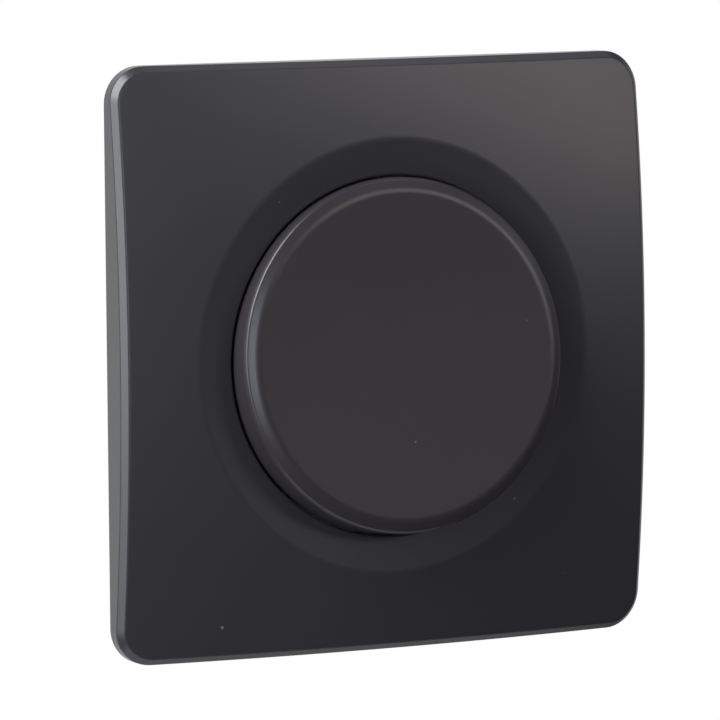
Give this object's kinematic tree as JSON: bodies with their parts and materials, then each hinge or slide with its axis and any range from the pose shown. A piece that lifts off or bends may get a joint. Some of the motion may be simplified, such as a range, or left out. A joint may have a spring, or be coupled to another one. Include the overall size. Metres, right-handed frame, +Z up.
{
  "type": "two-way light switch",
  "caption": "Flush two-way light switch: square domed dark grey plate with a large round rocker key, support frame, and a changeover mechanism with push-in terminals behind it.",
  "frame": {"origin": "middle of the plate on the wall surface, at the centre of the screw slots", "axes": "+X to the right seen from the front, +Y into the wall, +Z up"},
  "size_m": [0.083, 0.0357, 0.083],
  "materials": {
    "plate_plastic": "fine satin moulding",
    "key_plastic": "fine satin moulding",
    "frame_plastic": "glass-filled, dull",
    "housing_plastic": "dull moulding",
    "cradle_plastic": "smooth, waxy",
    "spring_steel": "rolled",
    "contact_brass": "stamped sheet",
    "contact_silver": "silver alloy",
    "lever_plastic": "smooth moulding"
  },
  "bodies": {
    "housing": {"cover_plate": "plate_plastic", "support_frame": "frame_plastic", "mechanism_cover": "housing_plastic", "mechanism_base": "housing_plastic", "common_terminal": "contact_brass", "upper_terminal": "contact_brass", "lower_terminal": "contact_brass", "upper_contact_tip": "contact_silver", "lower_contact_tip": "contact_silver", "common_clamp_spring": "spring_steel", "upper_clamp_spring": "spring_steel", "lower_clamp_spring": "spring_steel"},
    "rocker": {"rocker_button": "key_plastic", "rocker_cradle": "cradle_plastic", "plunger_spring": "spring_steel"},
    "plunger_pin": {"plunger": "cradle_plastic"},
    "see_saw": {"contact_blade": "contact_brass", "moving_contact_tips": "contact_silver"},
    "common_release": {"common_release_lever": "lever_plastic"},
    "upper_release": {"upper_release_lever": "lever_plastic"},
    "lower_release": {"lower_release_lever": "lever_plastic"}
  },
  "joints": [
    {"name": "rocker_tilt", "type": "hinge", "parent": "housing", "child": "rocker", "pos_m": [0, -0.0054, 0], "axis": [1, 0, 0], "range_deg": [0, 8.4]},
    {"name": "contact_flip", "type": "hinge", "parent": "housing", "child": "see_saw", "pos_m": [0, 0.0106, 0], "axis": [1, 0, 0], "range_deg": [-10.5, 0]},
    {"name": "plunger_slide", "type": "slide", "parent": "rocker", "child": "plunger_pin", "axis": [0, -0.9973, 0.0732], "range_m": [0, 0.0008], "stiffness_N_per_m": 400, "deforming": ["plunger_spring"]},
    {"name": "common_release_push", "type": "slide", "parent": "housing", "child": "common_release", "axis": [0, -1, 0], "range_m": [0, 0.0015], "stiffness_N_per_m": 800, "deforming": ["common_clamp_spring"]},
    {"name": "upper_release_push", "type": "slide", "parent": "housing", "child": "upper_release", "axis": [0, -1, 0], "range_m": [0, 0.0015], "stiffness_N_per_m": 800, "deforming": ["upper_clamp_spring"]},
    {"name": "lower_release_push", "type": "slide", "parent": "housing", "child": "lower_release", "axis": [0, -1, 0], "range_m": [0, 0.0015], "stiffness_N_per_m": 800, "deforming": ["lower_clamp_spring"]}
  ],
  "couplings": [
    {"joint": "contact_flip", "follows": "rocker_tilt", "ratio": -1.25}
  ]
}
